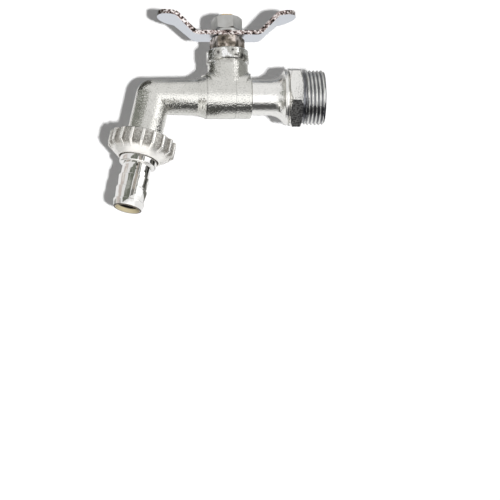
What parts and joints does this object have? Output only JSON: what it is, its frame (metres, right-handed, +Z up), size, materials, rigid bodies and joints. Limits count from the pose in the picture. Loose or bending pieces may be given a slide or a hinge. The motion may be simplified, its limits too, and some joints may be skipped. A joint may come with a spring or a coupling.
{
  "type": "hose bib tap",
  "caption": "Quarter-turn ball valve tap with a bent spout, a wing handle, a threaded inlet, a ribbed union nut and a barbed hose tail.",
  "frame": {"origin": "on the pipe axis, halfway along the inlet thread", "axes": "+X out of the inlet along the pipe, +Z up along the stem, the spout on the -X side"},
  "size_m": [0.1042, 0.0324, 0.1007],
  "materials": {
    "nickel_cast": "nickel-plated forged brass, satin with a fine grain",
    "nickel_turned": "nickel-plated turned brass, satin",
    "nickel_nut": "nickel-plated cast brass, rough flats between bright ribs",
    "chrome_tail": "polished nickel-chrome plate",
    "chrome_ball": "polished chrome plate",
    "brass_stem": "bare turned brass",
    "handle_steel": "plated sheet steel, smooth, with rough sheared edges",
    "zinc_steel": "zinc-plated steel",
    "ptfe": "white PTFE",
    "seal_rubber": "black rubber",
    "gasket_rubber": "black flat rubber"
  },
  "bodies": {
    "valve": {"valve_body": "nickel_cast", "seat_ring_outlet": "ptfe", "seat_ring_inlet": "ptfe", "connector_seal": "seal_rubber", "inlet_connector": "nickel_turned", "stem_thrust_washer": "ptfe", "packing_ring_lower": "ptfe", "packing_ring_upper": "ptfe", "gland_follower": "brass_stem", "packing_nut": "nickel_turned"},
    "handle_and_stem": {"handle": "handle_steel", "handle_nut": "zinc_steel", "spring_washer": "zinc_steel", "stem": "brass_stem", "stem_seal": "seal_rubber", "ball": "chrome_ball"},
    "gasket": {"tail_gasket": "gasket_rubber"},
    "tail": {"hose_tail": "chrome_tail"},
    "nut": {"union_nut": "nickel_nut"}
  },
  "joints": [
    {"name": "handle_turn", "type": "hinge", "parent": "valve", "child": "handle_and_stem", "pos_m": [-0.04094, 0, 0], "axis": [0, 0, -1], "range_deg": [0, 90]},
    {"name": "union_slide", "type": "slide", "parent": "valve", "child": "gasket", "axis": [-0.2317, 0, -0.9728], "range_m": [0, 0.00635]},
    {"name": "tail_swivel", "type": "hinge", "parent": "gasket", "child": "tail", "pos_m": [-0.08356, 0, -0.02695], "axis": [-0.2317, 0, -0.9728], "continuous": true},
    {"name": "union_nut_turn", "type": "hinge", "parent": "gasket", "child": "nut", "pos_m": [-0.08319, 0, -0.02539], "axis": [-0.2317, 0, -0.9728], "range_deg": [0, 1260]}
  ],
  "couplings": [
    {"joint": "union_nut_turn", "follows": "union_slide", "rad_per_m": 3463.7}
  ]
}
